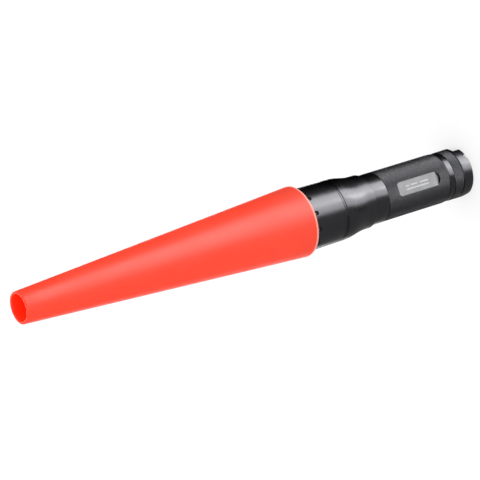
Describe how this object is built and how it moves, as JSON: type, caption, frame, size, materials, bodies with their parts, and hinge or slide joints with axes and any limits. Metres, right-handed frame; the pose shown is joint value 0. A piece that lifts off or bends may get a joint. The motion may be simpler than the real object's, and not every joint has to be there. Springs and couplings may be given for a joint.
{
  "type": "traffic baton light",
  "caption": "Focusing LED torch in a knurled black body with a push-on red signal cone, for directing traffic; it stands on its tail cap.",
  "frame": {"origin": "centre of the plane that the tail cap stands on, on the torch's axis", "axes": "+Z along the torch from the tail to the cone's tip; the name plate's flat faces -Y"},
  "size_m": [0.0424, 0.0424, 0.3098],
  "materials": {
    "cone_red": "satin, slightly translucent moulded plastic",
    "black_anodised": "satin black anodised aluminium",
    "plate_grey": "brushed grey anodised plate",
    "clear_lens": "clear moulded optic",
    "seal_rubber": "matt black rubber",
    "button_rubber": "matt black rubber with a fine grain",
    "black_nylon": "moulded nylon",
    "bare_alloy": "turned, uncoated",
    "board_green": "solder mask",
    "led_phosphor": "clear dome over yellow phosphor",
    "contact_brass": "plated contact strip",
    "spring_steel": "plated spring wire",
    "cell_wrap": "printed film wrap, plain"
  },
  "bodies": {
    "torch": {"led_pillar": "bare_alloy", "led_board": "board_green", "led_emitter": "led_phosphor", "body_tube": "black_anodised", "name_plate": "plate_grey", "focus_o_ring_lower": "seal_rubber", "focus_o_ring_upper": "seal_rubber", "stop_ring": "spring_steel", "driver_board": "board_green", "driver_retainer": "bare_alloy", "driver_choke": "black_nylon", "driver_chip": "black_nylon", "front_spring": "spring_steel", "cartridge_rear_plate": "black_nylon", "cartridge_front_plate": "black_nylon", "cartridge_spine": "black_nylon", "rear_contact_disc": "contact_brass", "front_contact_pin": "contact_brass", "cell_1": "cell_wrap", "cell_2": "cell_wrap", "cell_3": "cell_wrap", "front_contact_strip": "contact_brass", "rear_contact_strip": "contact_brass"},
    "focus_glide": {"glide_bush": "black_nylon"},
    "head": {"focus_sleeve": "black_anodised", "front_bezel": "black_anodised", "optic_lens": "clear_lens", "lens_o_ring": "seal_rubber", "lens_retainer": "black_nylon"},
    "cone": {"signal_cone": "cone_red"},
    "tail_seal": {"tail_o_ring": "seal_rubber"},
    "tail_cap": {"tail_cap": "black_anodised", "switch_housing": "black_nylon", "switch_board": "board_green", "switch_retainer": "bare_alloy", "tail_spring": "spring_steel"},
    "button": {"push_button": "button_rubber", "switch_plunger": "black_nylon"}
  },
  "joints": [
    {"name": "focus_slide", "type": "slide", "parent": "torch", "child": "focus_glide", "axis": [0, 0, 1], "range_m": [0, 0.008]},
    {"name": "head_turn", "type": "hinge", "parent": "focus_glide", "child": "head", "pos_m": [0, 0, 0.0774], "axis": [0, 0, 1], "continuous": true},
    {"name": "cone_pull", "type": "slide", "parent": "head", "child": "cone", "axis": [0, 0, 1], "range_m": [0, 0.03]},
    {"name": "tail_travel", "type": "slide", "parent": "torch", "child": "tail_seal", "axis": [0, 0, -1], "range_m": [0, 0.004]},
    {"name": "tail_turn", "type": "hinge", "parent": "tail_seal", "child": "tail_cap", "pos_m": [0, 0, 0.01], "axis": [0, 0, -1], "range_deg": [0, 1442]},
    {"name": "switch_press", "type": "slide", "parent": "tail_cap", "child": "button", "axis": [0, 0, 1], "range_m": [0, 0.0015], "stiffness_N_per_m": 1500}
  ],
  "couplings": [
    {"joint": "tail_turn", "follows": "tail_travel", "rad_per_m": 6283.2}
  ]
}
